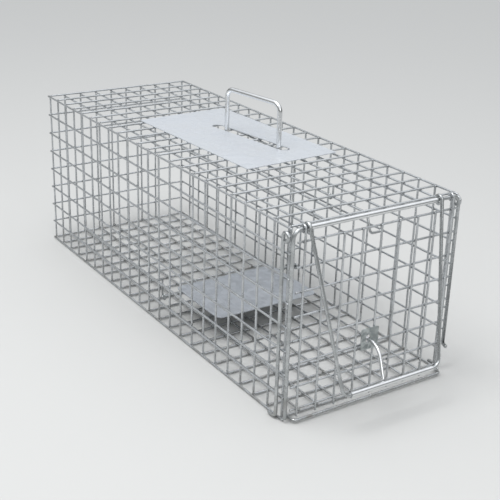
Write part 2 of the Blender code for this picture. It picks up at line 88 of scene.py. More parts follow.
class ShadeKit:
    """The shader node groups that the finishes share, each built once."""

    def __init__(self) -> None:
        """Build every group."""
        self.cloud = self._build_cloud()
        self.lines = self._build_lines()
        self.soil = self._build_soil()

    @staticmethod
    def _start(name: str, inputs: dict[str, str], outputs: dict[str, str]) -> tuple:
        """Start a group with named sockets.

        Args:
            name: The group's name.
            inputs: Socket type for each input's name.
            outputs: Socket type for each output's name.

        Returns:
            The group, its input node and its output node.
        """
        group = bpy.data.node_groups.new(name, "ShaderNodeTree")
        for label, kind in inputs.items():
            group.interface.new_socket(label, in_out="INPUT", socket_type=kind)
        for label, kind in outputs.items():
            group.interface.new_socket(label, in_out="OUTPUT", socket_type=kind)
        return group, group.nodes.new("NodeGroupInput"), group.nodes.new("NodeGroupOutput")

    def _build_cloud(self) -> bpy.types.NodeTree:
        """Cloudy zinc: soft light and dark patches with crystal flakes in them.

        Returns:
            A group that puts out the colour, the patch mask and a height.
        """
        group, given, result = self._start(
            "cloudy_zinc",
            {"Light": "NodeSocketColor", "Dark": "NodeSocketColor", "Patch Scale": "NodeSocketFloat",
             "Flake Scale": "NodeSocketFloat", "Flake Share": "NodeSocketFloat"},
            {"Colour": "NodeSocketColor", "Mask": "NodeSocketFloat", "Height": "NodeSocketFloat"},
        )
        link = group.links.new
        place = group.nodes.new("ShaderNodeTexCoord")
        patches = group.nodes.new("ShaderNodeTexNoise")
        patches.inputs["Detail"].default_value = 6.0
        patches.inputs["Roughness"].default_value = 0.62
        patches.inputs["Distortion"].default_value = 0.6
        flakes = group.nodes.new("ShaderNodeTexVoronoi")
        flakes.inputs["Randomness"].default_value = 1.0
        flake_tone = group.nodes.new("ShaderNodeSeparateColor")
        share = group.nodes.new("ShaderNodeMix")
        share.data_type = "FLOAT"
        spread = group.nodes.new("ShaderNodeMapRange")
        spread.inputs["From Min"].default_value = 0.30
        spread.inputs["From Max"].default_value = 0.70
        tint = group.nodes.new("ShaderNodeMix")
        tint.data_type = "RGBA"
        link(place.outputs["Object"], patches.inputs["Vector"])
        link(place.outputs["Object"], flakes.inputs["Vector"])
        link(given.outputs["Patch Scale"], patches.inputs["Scale"])
        link(given.outputs["Flake Scale"], flakes.inputs["Scale"])
        link(flakes.outputs["Color"], flake_tone.inputs["Color"])
        link(given.outputs["Flake Share"], share.inputs[0])
        link(patches.outputs["Fac"], share.inputs[2])
        link(flake_tone.outputs["Red"], share.inputs[3])
        link(share.outputs[0], spread.inputs["Value"])
        link(spread.outputs["Result"], tint.inputs[0])
        link(given.outputs["Dark"], tint.inputs[6])
        link(given.outputs["Light"], tint.inputs[7])
        link(tint.outputs[2], result.inputs["Colour"])
        link(spread.outputs["Result"], result.inputs["Mask"])
        link(patches.outputs["Fac"], result.inputs["Height"])
        return group

    def _build_lines(self) -> bpy.types.NodeTree:
        """Drawing and rolling lines: noise pulled out along one direction.

        Returns:
            A group that puts out the line mask.
        """
        group, given, result = self._start(
            "drawn_lines",
            {"Stretch": "NodeSocketVector", "Scale": "NodeSocketFloat"},
            {"Mask": "NodeSocketFloat"},
        )
        link = group.links.new
        place = group.nodes.new("ShaderNodeTexCoord")
        pull = group.nodes.new("ShaderNodeMapping")
        noise = group.nodes.new("ShaderNodeTexNoise")
        noise.inputs["Detail"].default_value = 3.0
        noise.inputs["Roughness"].default_value = 0.5
        link(place.outputs["Object"], pull.inputs["Vector"])
        link(given.outputs["Stretch"], pull.inputs["Scale"])
        link(pull.outputs["Vector"], noise.inputs["Vector"])
        link(given.outputs["Scale"], noise.inputs["Scale"])
        link(noise.outputs["Fac"], result.inputs["Mask"])
        return group

    def _build_soil(self) -> bpy.types.NodeTree:
        """Soil splashed up from the ground: strongest at the foot and broken up.

        Returns:
            A group that puts out the soil mask.
        """
        group, given, result = self._start(
            "ground_soil",
            {"Reach": "NodeSocketFloat", "Scale": "NodeSocketFloat"},
            {"Mask": "NodeSocketFloat"},
        )
        link = group.links.new
        place = group.nodes.new("ShaderNodeTexCoord")
        split = group.nodes.new("ShaderNodeSeparateXYZ")
        fall = group.nodes.new("ShaderNodeMapRange")
        fall.inputs["To Min"].default_value = 1.0
        fall.inputs["To Max"].default_value = 0.0
        spots = group.nodes.new("ShaderNodeTexNoise")
        spots.inputs["Detail"].default_value = 5.0
        cut = group.nodes.new("ShaderNodeMapRange")
        cut.inputs["From Min"].default_value = 0.45
        cut.inputs["From Max"].default_value = 0.72
        both = group.nodes.new("ShaderNodeMath")
        both.operation = "MULTIPLY"
        link(place.outputs["Object"], split.inputs["Vector"])
        link(split.outputs["Z"], fall.inputs["Value"])
        link(given.outputs["Reach"], fall.inputs["From Max"])
        link(place.outputs["Object"], spots.inputs["Vector"])
        link(given.outputs["Scale"], spots.inputs["Scale"])
        link(spots.outputs["Fac"], cut.inputs["Value"])
        link(fall.outputs["Result"], both.inputs[0])
        link(cut.outputs["Result"], both.inputs[1])
        link(both.outputs["Value"], result.inputs["Mask"])
        return group


# ---------------------------------------------------------------- finishes


@dataclass(frozen=True)
class ZincFinish:
    """A zinc finish: its tones, its clouding, its lines and how it shines."""

    slot: str
    light: Colour
    dark: Colour
    roughness: tuple[float, float]
    patch_scale: float
    flake_scale: float
    flake_share: float
    stretch: Colour = (1.0, 1.0, 1.0)
    line_scale: float = 900.0
    line_depth: float = 0.12
    metallic: float = 0.9
    bump: float = 0.12
    soil_reach: float = 0.05
    soil_amount: float = 0.5
    weld_tone: float = 0.55

    def make(self, kit: ShadeKit) -> bpy.types.Material:
        """Make the material.

        Args:
            kit: The shared shade groups.

        Returns:
            The finished material.
        """
        material = bpy.data.materials.new(f"{self.slot}_finish")
        material.use_nodes = True
        nodes, link = material.node_tree.nodes, material.node_tree.links.new
        shader = nodes["Principled BSDF"]
        shader.inputs["Metallic"].default_value = self.metallic

        cloud = nodes.new("ShaderNodeGroup")
        cloud.node_tree = kit.cloud
        cloud.inputs["Light"].default_value = (*self.light, 1.0)
        cloud.inputs["Dark"].default_value = (*self.dark, 1.0)
        cloud.inputs["Patch Scale"].default_value = self.patch_scale
        cloud.inputs["Flake Scale"].default_value = self.flake_scale
        cloud.inputs["Flake Share"].default_value = self.flake_share

        lines = nodes.new("ShaderNodeGroup")
        lines.node_tree = kit.lines
        lines.inputs["Stretch"].default_value = self.stretch
        lines.inputs["Scale"].default_value = self.line_scale

        soil = nodes.new("ShaderNodeGroup")
        soil.node_tree = kit.soil
        soil.inputs["Reach"].default_value = self.soil_reach
        soil.inputs["Scale"].default_value = 70.0

        lined = self._blend(nodes, "RGBA", "MULTIPLY")
        lined.inputs[0].default_value = self.line_depth
        link(cloud.outputs["Colour"], lined.inputs[6])
        link(lines.outputs["Mask"], lined.inputs[7])

        weld = nodes.new("ShaderNodeAttribute")
        weld.attribute_name = "weld"
        welded = self._blend(nodes, "RGBA", "MIX")
        welded.inputs[7].default_value = (*[tone * self.weld_tone for tone in self.dark], 1.0)
        link(weld.outputs["Fac"], welded.inputs[0])
        link(lined.outputs[2], welded.inputs[6])

        soiled = self._blend(nodes, "RGBA", "MIX")
        soiled.inputs[7].default_value = (0.20, 0.17, 0.13, 1.0)
        amount = self._scaled(nodes, self.soil_amount)
        link(soil.outputs["Mask"], amount.inputs[0])
        link(amount.outputs["Value"], soiled.inputs[0])
        link(welded.outputs[2], soiled.inputs[6])
        link(soiled.outputs[2], shader.inputs["Base Color"])

        rough = nodes.new("ShaderNodeMapRange")
        rough.inputs["To Min"].default_value = self.roughness[1]
        rough.inputs["To Max"].default_value = self.roughness[0]
        link(cloud.outputs["Mask"], rough.inputs["Value"])
        link(rough.outputs["Result"], shader.inputs["Roughness"])

        grain = self._blend(nodes, "FLOAT", "MIX")
        grain.inputs[0].default_value = 0.35
        link(cloud.outputs["Height"], grain.inputs[2])
        link(lines.outputs["Mask"], grain.inputs[3])
        bump = nodes.new("ShaderNodeBump")
        bump.inputs["Strength"].default_value = self.bump
        bump.inputs["Distance"].default_value = 0.001
        link(grain.outputs[0], bump.inputs["Height"])
        link(bump.outputs["Normal"], shader.inputs["Normal"])
        return material

    @staticmethod
    def _blend(nodes: bpy.types.Nodes, kind: str, mode: str) -> bpy.types.Node:
        """Add a mix node of a data type and a blend mode."""
        node = nodes.new("ShaderNodeMix")
        node.data_type = kind
        if kind == "RGBA":
            node.blend_type = mode
        return node

    @staticmethod
    def _scaled(nodes: bpy.types.Nodes, factor: float) -> bpy.types.Node:
        """Add a node that multiplies a mask by a factor."""
        node = nodes.new("ShaderNodeMath")
        node.operation = "MULTIPLY"
        node.inputs[1].default_value = factor
        return node


MESH_ZINC = ZincFinish("mesh_zinc", (0.64, 0.66, 0.68), (0.44, 0.455, 0.465), (0.22, 0.30),
                       40.0, 160.0, 0.15, bump=0.04)
FRAME_ZINC = ZincFinish("frame_zinc", (0.58, 0.60, 0.61), (0.36, 0.375, 0.38), (0.22, 0.32),
                        50.0, 220.0, 0.20, bump=0.06)
BRIGHT_ZINC = ZincFinish("bright_zinc", (0.82, 0.83, 0.84), (0.70, 0.71, 0.72), (0.18, 0.24),
                         30.0, 120.0, 0.10, metallic=1.0, bump=0.02)
SHEET_ZINC = ZincFinish("sheet_zinc", (0.84, 0.87, 0.91), (0.64, 0.67, 0.71), (0.34, 0.50),
                        22.0, 110.0, 0.30, stretch=(1.0, 0.08, 1.0), line_scale=420.0,
                        line_depth=0.10, metallic=0.75, bump=0.05)
TREADLE_ZINC = ZincFinish("treadle_zinc", (0.66, 0.69, 0.74), (0.50, 0.53, 0.57), (0.36, 0.52),
                          26.0, 140.0, 0.25, stretch=(1.0, 0.05, 1.0), line_scale=500.0,
                          line_depth=0.25, metallic=0.75, bump=0.05, soil_amount=0.3)
DULL_ZINC = ZincFinish("dull_zinc", (0.50, 0.53, 0.53), (0.30, 0.33, 0.33), (0.46, 0.66),
                       120.0, 300.0, 0.45, metallic=0.7, bump=0.25)
FINISHES = (MESH_ZINC, FRAME_ZINC, BRIGHT_ZINC, SHEET_ZINC, TREADLE_ZINC, DULL_ZINC)


@dataclass
class Wardrobe:
    """The finished materials, by slot."""

    kit: ShadeKit = field(default_factory=ShadeKit)
    made: dict[str, bpy.types.Material] = field(default_factory=dict)

    def __post_init__(self) -> None:
        """Make every finish."""
        for finish in FINISHES:
            self.made[finish.slot] = finish.make(self.kit)

    def dress(self, piece: bpy.types.Object, finish: ZincFinish, body: Body,
              *nodes: str) -> bpy.types.Object:
        """Give a piece its finish, its body and the solids that it stands for.

        Args:
            piece: The piece to dress.
            finish: Its finish.
            body: The body that it rides on.
            nodes: The solids that it replaces.

        Returns:
            The same piece.
        """
        piece.data.materials.clear()
        piece.data.materials.append(self.made[finish.slot])
        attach(piece, body.value)
        if nodes:
            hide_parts(*nodes)
        LOG.info("%s: %s on %s, for %s", piece.name, finish.slot, body.value, ", ".join(nodes))
        return piece

    def coat(self, node: str, finish: ZincFinish) -> None:
        """Give a solid that stays in view its finish.

        Args:
            node: The solid's name.
            finish: Its finish.
        """
        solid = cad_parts[node]
        for slot in solid.material_slots:
            slot.material = self.made[finish.slot]
        LOG.info("%s: %s, kept", node, finish.slot)


# ---------------------------------------------------------------- shapes


def bent(points: Iterable[Sequence[float]], radii: float | list[float],
         steps: int = 8) -> list[Vector]:
    """Round the inner corners of a run of points, as rod is bent over a former.

    Args:
        points: The corners of the run.
        radii: One bend radius, or one for each inner corner.
        steps: How many short lengths make up a bend.

    Returns:
        The points of the rod's middle line.
    """
    corners = [Vector(point) for point in points]
    if not isinstance(radii, list):
        radii = [radii] * (len(corners) - 2)
    path = [corners[0]]
    for before, corner, after, radius in zip(corners, corners[1:], corners[2:], radii):
        back, ahead = (before - corner).normalized(), (after - corner).normalized()
        half = back.angle(ahead) / 2
        middle = corner + (back + ahead).normalized() * radius / math.sin(half)
        spoke = corner + back * radius / math.tan(half) - middle
        axis = spoke.cross(corner + ahead * radius / math.tan(half) - middle)
        for i in range(steps + 1):
            turn = Matrix.Rotation((math.pi - 2 * half) * i / steps, 3, axis)
            path.append(middle + turn @ spoke)
    path.append(corners[-1])
    return path


def ring(middle: Vector, radius: float, start: float, sweep: float, across: Vector,
         up: Vector, steps: int = 24) -> list[Vector]:
    """Points round an eye bent in rod.

    Args:
        middle: The eye's middle.
        radius: Radius to the rod's middle line.
        start: Where the eye starts, in degrees from across.
        sweep: How far it goes round, in degrees towards up.
        across: The direction of 0 degrees.
        up: The direction of 90 degrees.
        steps: How many short lengths make up the eye.

    Returns:
        The points of the eye.
    """
    angles = [math.radians(start + sweep * i / steps) for i in range(steps + 1)]
    return [middle + (across * math.cos(a) + up * math.sin(a)) * radius for a in angles]


def disc(radius: float, sides: int = 32) -> Outline:
    """Outline of a circle."""
    turns = [2 * math.pi * i / sides for i in range(sides)]
    return [(radius * math.cos(turn), radius * math.sin(turn)) for turn in turns]


def round_box(wide: float, high: float, corner: float, steps: int = 8) -> Outline:
    """Outline of a rectangle with round corners.

    Args:
        wide: Its size across.
        high: Its size up.
        corner: Its corner radius.
        steps: How many short lengths make up a corner.

    Returns:
        The outline about its own middle.
    """
    outline = []
    for turn, (sign_x, sign_y) in enumerate(((1, 1), (-1, 1), (-1, -1), (1, -1))):
        for i in range(steps + 1):
            angle = math.radians(90 * (turn + i / steps))
            outline.append((sign_x * (wide / 2 - corner) + corner * math.cos(angle),
                            sign_y * (high / 2 - corner) + corner * math.sin(angle)))
    return outline


def turned(outline: Outline, degrees: float) -> Outline:
    """The same outline turned in its plane."""
    cos, sin = math.cos(math.radians(degrees)), math.sin(math.radians(degrees))
    return [(x * cos - y * sin, x * sin + y * cos) for x, y in outline]


def shifted(outline: Outline, across: float, up: float) -> Outline:
    """The same outline moved in its plane."""
    return [(x + across, y + up) for x, y in outline]


CUT_END = ((0.0, 0.60), (0.06, 0.82), (0.20, 0.95), (0.42, 1.0))
BEAD_TURNS, BEAD_RINGS = 8, 4


class Draft:
    """A mesh being put together from rods and weld beads."""

    def __init__(self) -> None:
        """Start with nothing."""
        self.points: list[Vector] = []
        self.faces: list[tuple[int, ...]] = []
        self.weld: list[float] = []

    def _ring(self, middle: Vector, ahead: Vector, side: Vector, radius: float,
              sides: int) -> int:
        """Add one ring of points round a rod.

        Args:
            middle: The ring's middle.
            ahead: The rod's direction.
            side: A direction square to it.
            radius: The ring's radius.
            sides: How many points it has.

        Returns:
            The number of its first point.
        """
        first, up = len(self.points), ahead.cross(side)
        for i in range(sides):
            turn = 2 * math.pi * i / sides
            self.points.append(middle + (side * math.cos(turn) + up * math.sin(turn)) * radius)
            self.weld.append(0.0)
        return first

    def add_rod(self, path: Sequence[Vector], radius: float, sides: int = 16) -> None:
        """Add a round rod with softly cut ends.

        Args:
            path: The rod's middle line.
            radius: The rod's radius.
            sides: How many sides its section has.
        """
        ends = [(path[1] - path[0]).normalized(), (path[-1] - path[-2]).normalized()]
        stations = [(path[0] + ends[0] * radius * inset, share) for inset, share in CUT_END]
        stations += [(point, 1.0) for point in path[1:-1]]
        stations += [(path[-1] - ends[1] * radius * inset, share)
                     for inset, share in reversed(CUT_END)]
        side = ends[0].orthogonal().normalized()
        rings = []
        for i, (middle, share) in enumerate(stations):
            before = stations[max(i - 1, 0)][0]
            after = stations[min(i + 1, len(stations) - 1)][0]
            ahead = (after - before).normalized()
            side = (side - ahead * side.dot(ahead)).normalized()
            rings.append(self._ring(middle, ahead, side, radius * share, sides))
        for here, there in zip(rings, rings[1:]):
            for i in range(sides):
                j = (i + 1) % sides
                self.faces.append((here + i, here + j, there + j, there + i))
        self.faces.append(tuple(rings[0] + i for i in reversed(range(sides))))
        self.faces.append(tuple(rings[-1] + i for i in range(sides)))

    def add_bead(self, middle: Vector, size: Vector) -> None:
        """Add a weld bead.

        Args:
            middle: The bead's middle.
            size: Its half size along each axis.
        """
        first = len(self.points)
        poles = [middle + Vector((0, 0, size.z)), middle - Vector((0, 0, size.z))]
        self.points.append(poles[0])
        for row in range(1, BEAD_RINGS):
            tilt = math.pi * row / BEAD_RINGS
            for i in range(BEAD_TURNS):
                turn = 2 * math.pi * i / BEAD_TURNS
                self.points.append(middle + Vector((
                    size.x * math.sin(tilt) * math.cos(turn),
                    size.y * math.sin(tilt) * math.sin(turn),
                    size.z * math.cos(tilt))))
        self.points.append(poles[1])
        last = len(self.points) - 1
        self.weld.extend([1.0] * (last - first + 1))
        for i in range(BEAD_TURNS):
            j = (i + 1) % BEAD_TURNS
            self.faces.append((first, first + 1 + i, first + 1 + j))
            for row in range(BEAD_RINGS - 2):
                here = first + 1 + row * BEAD_TURNS
                there = here + BEAD_TURNS
                self.faces.append((here + i, there + i, there + j, here + j))
            foot = last - BEAD_TURNS
            self.faces.append((last, foot + j, foot + i))

    def build(self, name: str) -> bpy.types.Object:
        """Turn the draft into an object.

        Args:
            name: The piece's name.

        Returns:
            The new piece, smooth shaded.
        """
        mesh = bpy.data.meshes.new(name)
        mesh.from_pydata(self.points, [], self.faces)
        mask = mesh.attributes.new("weld", "FLOAT", "POINT")
        mask.data.foreach_set("value", self.weld)
        mesh.shade_smooth()
        piece = bpy.data.objects.new(name, mesh)
        bpy.context.scene.collection.objects.link(piece)
        return piece


def rod(name: str, path: Sequence[Vector], radius: float, sides: int = 18) -> bpy.types.Object:
    """One bent rod as a piece.

    Args:
        name: The piece's name.
        path: The rod's middle line.
        radius: The rod's radius.
        sides: How many sides its section has.

    Returns:
        The new piece.
    """
    draft = Draft()
    draft.add_rod(path, radius, sides)
    return draft.build(name)


def sheet(name: str, outlines: Sequence[Outline], thickness: float, plane: Plane,
          middle: Vector, soft: float) -> bpy.types.Object:
    """A flat piece with softened edges.

    Args:
        name: The piece's name.
        outlines: Its outline, then its holes.
        thickness: How thick it is.
        plane: The plane that it is cut in.
        middle: Where the outlines' own middle goes.
        soft: The radius of its softened edges.

    Returns:
        The new piece.
    """
    curve = bpy.data.curves.new(name, "CURVE")
    curve.dimensions = "2D"
    curve.fill_mode = "BOTH"
    curve.extrude = thickness / 2
    curve.render_resolution_u = 0
    for outline in outlines:
        spline = curve.splines.new("POLY")
        spline.points.add(len(outline) - 1)
        for slot, (across, up) in zip(spline.points, outline):
            slot.co = (across, up, 0, 1)
        spline.use_cyclic_u = True
    form = bpy.data.objects.new(f"{name}_form", curve)
    bpy.context.scene.collection.objects.link(form)
    bpy.context.view_layer.update()
    mesh = bpy.data.meshes.new_from_object(form.evaluated_get(
        bpy.context.evaluated_depsgraph_get()))
    bpy.data.objects.remove(form)
    turn = Matrix.LocRotScale(middle, None, None) @ _turned(plane)
    mesh.transform(turn)
    piece = bpy.data.objects.new(name, mesh)
    bpy.context.scene.collection.objects.link(piece)
    join = piece.modifiers.new("join_rims", "WELD")
    join.merge_threshold = 0.00001
    edge = piece.modifiers.new("soft_edges", "BEVEL")
    edge.width = soft
    edge.segments = 3
    edge.limit_method = "ANGLE"
    edge.angle_limit = math.radians(50)
    edge.harden_normals = True
    mesh.shade_smooth()
    return piece


def _turned(plane: Plane) -> Matrix:
    """The turn that lays a flat piece in its plane."""
    around_x, _, around_z = plane.value
    return Matrix.Rotation(around_z, 4, "Z") @ Matrix.Rotation(around_x, 4, "X")


def sleeve(name: str, node: str) -> bpy.types.Object:
    """A tube that lies across the trap, as long as the solid it stands for.

    Args:
        name: The piece's name.
        node: The solid's name.

    Returns:
        The tube.
    """
    low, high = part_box(node)
    return sheet(name, [disc(SLEEVE_OUTER), disc(SLEEVE_INNER)], high.x - low.x,
                 Plane.SIDEWAYS, middle_of(node), SLEEVE_EDGE)


def middle_of(node: str) -> Vector:
    """The middle of a solid's box."""
    low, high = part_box(node)
    return (low + high) / 2


# ---------------------------------------------------------------- welded panels


@dataclass(frozen=True)
class Layer:
    """One layer of parallel wires in a welded panel.

    The wires run along one axis from start to end, stand at the given places on the
    second axis, and lie at one depth on the third.
    """

    axis: int
    start: float
    end: float
    across: int
    places: tuple[float, ...]
    depth: float

    def point(self, along: float, place: float) -> Vector:
        """A point on one of the layer's wires."""
        spot = Vector((self.depth, self.depth, self.depth))
        spot[self.axis], spot[self.across] = along, place
        return spot


@dataclass
class WeldedPanel:
    """A panel of two wire layers, with a weld bead at each crossing."""

    node: str
    body: Body
    layers: tuple[Layer, Layer]
    seed: int
    wire: float = 0.00119
    sway: float = 0.00018
    bead: tuple[float, float] = (0.00165, 0.00100)
    bead_spread: tuple[float, float] = (0.85, 1.12)

    def build(self, wardrobe: Wardrobe) -> bpy.types.Object:
        """Build the panel's wires and beads in one piece.

        Args:
            wardrobe: The finished materials.

        Returns:
            The dressed panel.
        """
        chance = random.Random(self.seed)
        draft = Draft()
        first, second = self.layers
        for layer, other in ((first, second), (second, first)):
            for place in layer.places:
                draft.add_rod(self._path(layer, other, place, chance), self.wire, 12)
        depth_axis = 3 - first.axis - first.across
        for along in second.places:
            for place in first.places:
                spot = first.point(along, place)
                spot[depth_axis] = (first.depth + second.depth) / 2
                wide = self.bead[0] * chance.uniform(*self.bead_spread)
                size = Vector((wide, wide, wide))
                size[depth_axis] = self.bead[1]
                size.z = min(size.z, spot.z)
                draft.add_bead(spot, size)
        piece = draft.build(f"{self.node}_wires")
        return wardrobe.dress(piece, MESH_ZINC, self.body, self.node)

    def _path(self, layer: Layer, other: Layer, place: float,
              chance: random.Random) -> list[Vector]:
        """The middle line of one wire, which wanders slightly between its welds.

        Args:
            layer: The wire's own layer.
            other: The layer that it is welded to.
            place: The wire's place in its layer.
            chance: Where its small errors come from.

        Returns:
            The points of the line.
        """
        inner = sorted(p for p in other.places
                       if layer.start + 2 * self.wire < p < layer.end - 2 * self.wire)
        path = [layer.point(layer.start, place)]
        path += [layer.point(p, place + chance.uniform(-self.sway, self.sway)) for p in inner]
        path.append(layer.point(layer.end, place))
        for point in path:
            point.z = max(point.z, self.wire)
        return path


@dataclass
class Cage:
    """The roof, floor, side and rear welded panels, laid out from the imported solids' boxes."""

    wardrobe: Wardrobe
    pitch_long: float = 0.0254
    pitch_wide: float = 0.0230
    cells_long: int = 22
    cells_wide: int = 9
    cells_high: int = 8
    half: float = 0.00125
    stub: float = 0.0015
    step: float = 0.0022
    edge: float = 0.00115
    foot_gap: float = 0.0003

    def rows(self) -> tuple[float, ...]:
        """Where the cross wires stand along the cage."""
        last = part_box("roof_mesh")[1].y - self.stub
        return tuple(last - self.pitch_long * k for k in range(self.cells_long, -1, -1))

    def columns(self) -> tuple[float, ...]:
        """Where the inner long wires stand across the cage."""
        half_width = self.pitch_wide * self.cells_wide / 2
        return tuple(-half_width + self.pitch_wide * k for k in range(1, self.cells_wide))

    def build(self) -> None:
        """Build all the panels."""
        rows, columns = self.rows(), self.columns()
        for number, (name, upper) in enumerate((("roof_mesh", True), ("floor_mesh", False))):
            low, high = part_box(name)
            cross_z, long_z = (high.z - self.half, low.z + self.half) if upper else (
                low.z + self.half, high.z - self.half)
            WeldedPanel(name, Body.FRAME, (
                Layer(1, low.y, high.y, 0, columns, long_z),
                Layer(0, low.x, high.x, 1, rows, cross_z)), 11 + number).build(self.wardrobe)
        for number, (name, side) in enumerate((("left_side_mesh", -1), ("right_side_mesh", 1))):
            low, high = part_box(name)
            outer = (low.x + self.half) if side < 0 else (high.x - self.half)
            inner = outer - side * self.step
            levels = (self.edge,) + tuple(
                self.pitch_long * j for j in range(1, self.cells_high + 1))
            WeldedPanel(name, Body.FRAME, (
                Layer(1, low.y, high.y, 2, levels, outer),
                Layer(2, low.z + self.foot_gap, high.z, 1, rows, inner)), 21 + number).build(
                    self.wardrobe)
        low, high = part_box("rear_mesh")
        levels = tuple(self.pitch_long * j for j in range(1, self.cells_high))
        WeldedPanel("rear_mesh", Body.FRAME, (
            Layer(2, low.z, high.z, 0, columns, low.y + self.half),
            Layer(0, low.x, high.x, 2, levels, high.y - self.half)), 31).build(self.wardrobe)


# ---------------------------------------------------------------- front frame


@dataclass
class FrontFrame:
    """The hoop round the door opening, its sleeve, the sill and the corner posts."""

    wardrobe: Wardrobe
    wire: float = 0.0019
    hoop_bend: float = 0.0090
    hook_bend: float = 0.001
    sill_bend: float = 0.004
    post_bend: float = 0.005
    post_neck: float = 0.004
    stop_z: float = 0.0345
    sill_wire: float = 0.0015
    post_foot: float = 0.0120
    post_eye: float = 0.0042
    post_eye_z: float = 0.1950

    def build(self) -> None:
        """Build every piece of the front frame."""
        self._hoop()
        self._sleeve()
        self._sill()
        for name, side in (("left_corner_post", -1), ("right_corner_post", 1)):
            self._post(name, side)

    def _hoop(self) -> None:
        """The hoop, with the small hook that ends its right leg."""
        low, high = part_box("front_hoop")
        y, top = high.y - self.wire, high.z - self.wire
        left, right = low.x + self.wire, high.x - self.wire
        path = bent([(left, y, low.z), (left, y, top), (right, y, top),
                     (right, y, self.stop_z), (right, y - 2 * self.wire, self.stop_z - self.wire),
                     (right, low.y, self.stop_z - self.wire)],
                    [self.hoop_bend, self.hoop_bend, self.hook_bend, self.hook_bend])
        self.wardrobe.dress(rod("hoop_rod", path, self.wire), FRAME_ZINC, Body.FRAME,
                            "front_hoop")

    def _sleeve(self) -> None:
        """The sleeve that turns on the hoop's top run."""
        piece = sleeve("hinge_sleeve_tube", "hinge_sleeve")
        self.wardrobe.dress(piece, BRIGHT_ZINC, Body.FRAME, "hinge_sleeve")

    def _sill(self) -> None:
        """The low wire that the door closes against."""
        low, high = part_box("sill_wire")
        r = self.sill_wire
        y, z = low.y + r, (low.z + high.z) / 2
        path = bent([(low.x + r, high.y, z), (low.x + r, y, z), (high.x - r, y, z),
                     (high.x - r, high.y, z)], self.sill_bend)
        self.wardrobe.dress(rod("sill_rod", path, r * ROUND_SHARE), FRAME_ZINC, Body.FRAME,
                            "sill_wire")

    def _post(self, name: str, side: int) -> None:
        """A corner post with a bent foot and a curled eye.

        Args:
            name: The solid's name.
            side: -1 for the left and 1 for the right.
        """
        low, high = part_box(name)
        x = (low.x + high.x) / 2
        foot_y, foot_z = high.y, low.z + self.wire
        y = foot_y - self.post_foot
        eye = Vector((x, y - self.post_eye, self.post_eye_z))
        neck = (x, y, self.post_eye_z - self.post_neck)
        stem = bent([(x, foot_y, foot_z), (x, y, foot_z), neck], self.post_bend)
        path = stem + ring(eye, self.post_eye, 0, 285, Y_AXIS, Z_AXIS)
        self.wardrobe.dress(rod(f"{name}_rod", path, self.wire), FRAME_ZINC, Body.FRAME, name)


# ---------------------------------------------------------------- door


@dataclass
class Door:
    """The door panel, the hooks that hang it, the latch plate and the latch hook."""

    wardrobe: Wardrobe
    half: float = 0.00125
    pitch_wide: float = 0.0230
    pitch_high: float = 0.0254
    cells_wide: int = 8
    first_level: float = 0.0127
    level_count: int = 8
    hook_eye: float = 0.00355
    hook_wire: float = 0.00118
    slot: tuple[float, float, float] = (0.0054, 0.0092, 0.0026)
    plate_corner: float = 0.0018
    cut_error: float = 0.00025
    latch_wire: float = 0.0019
    latch_offset: tuple[float, float] = (-0.0025, 0.0002)
    tail: tuple[float, float] = (0.0060, 0.0075)
    nose: float = 0.0170
    nose_bend: float = 0.0240
    foot: tuple[float, float, float] = (-0.0160, 0.0053, 0.0010)

    def build(self) -> None:
        """Build every piece that rides on the door."""
        low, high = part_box("door_mesh")
        columns = tuple(self.pitch_wide * (k - self.cells_wide / 2)
                        for k in range(self.cells_wide + 1))
        levels = tuple(self.first_level + self.pitch_high * i for i in range(self.level_count))
        WeldedPanel("door_mesh", Body.DOOR, (
            Layer(2, low.z, high.z, 0, columns, low.y + self.half),
            Layer(0, low.x, high.x, 2, levels, high.y - self.half)), 41).build(self.wardrobe)
        hinge = middle_of("hinge_sleeve")
        for name in ("door_hook_left", "door_hook_right"):
            self._hook(name, Vector((middle_of(name).x, hinge.y, hinge.z)))
        self._plate()
        self._latch()

    def _hook(self, name: str, middle: Vector) -> None:
        """A hook that hangs the door on the hoop.

        Args:
            name: The solid's name.
            middle: Its place on the hinge line.
        """
        foot = Vector((middle.x, middle.y - self.hook_eye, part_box(name)[0].z))
        path = [foot] + ring(middle, self.hook_eye, 180, -285, Y_AXIS, Z_AXIS)
        self.wardrobe.dress(rod(f"{name}_rod", path, self.hook_wire), MESH_ZINC, Body.DOOR, name)

    def _plate(self) -> None:
        """The latch plate, a hand-cut square with a slot."""
        low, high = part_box("latch_plate")
        slot = shifted(round_box(*self.slot), *self.latch_offset)
        chance = random.Random(51)
        outline = round_box(high.x - low.x - SHEET_EDGE, high.z - low.z - SHEET_EDGE,
                            self.plate_corner, 3)
        edge = [(x + chance.uniform(-self.cut_error, 0), y + chance.uniform(-self.cut_error, 0))
                for x, y in outline]
        piece = sheet("latch_plate_sheet", [edge, slot], high.y - low.y, Plane.FACING,
                      middle_of("latch_plate"), PLATE_EDGE)
        self.wardrobe.dress(piece, DULL_ZINC, Body.DOOR, "latch_plate")

    def _latch(self) -> None:
        """The latch hook: a tail behind the plate and a nose over the bail's tube."""
        plate, bar = middle_of("latch_plate"), middle_of("bail_tube")
        pivot = plate + Vector((self.latch_offset[0], 0, self.latch_offset[1]))
        x, y, z = pivot
        tail = bent([(x, y + self.tail[0], z + self.tail[1]), (x, y + self.tail[0], z), pivot],
                    SMALL_BEND)
        foot = Vector((0, bar.y, bar.z)) + Vector(self.foot)
        nose = bent([pivot, (x, y - self.nose, z), foot], self.nose_bend)
        self.wardrobe.dress(rod("latch_hook_rod", tail + nose[1:], self.latch_wire),
                            BRIGHT_ZINC, Body.LATCH, "latch_hook")


# ---------------------------------------------------------------- bail


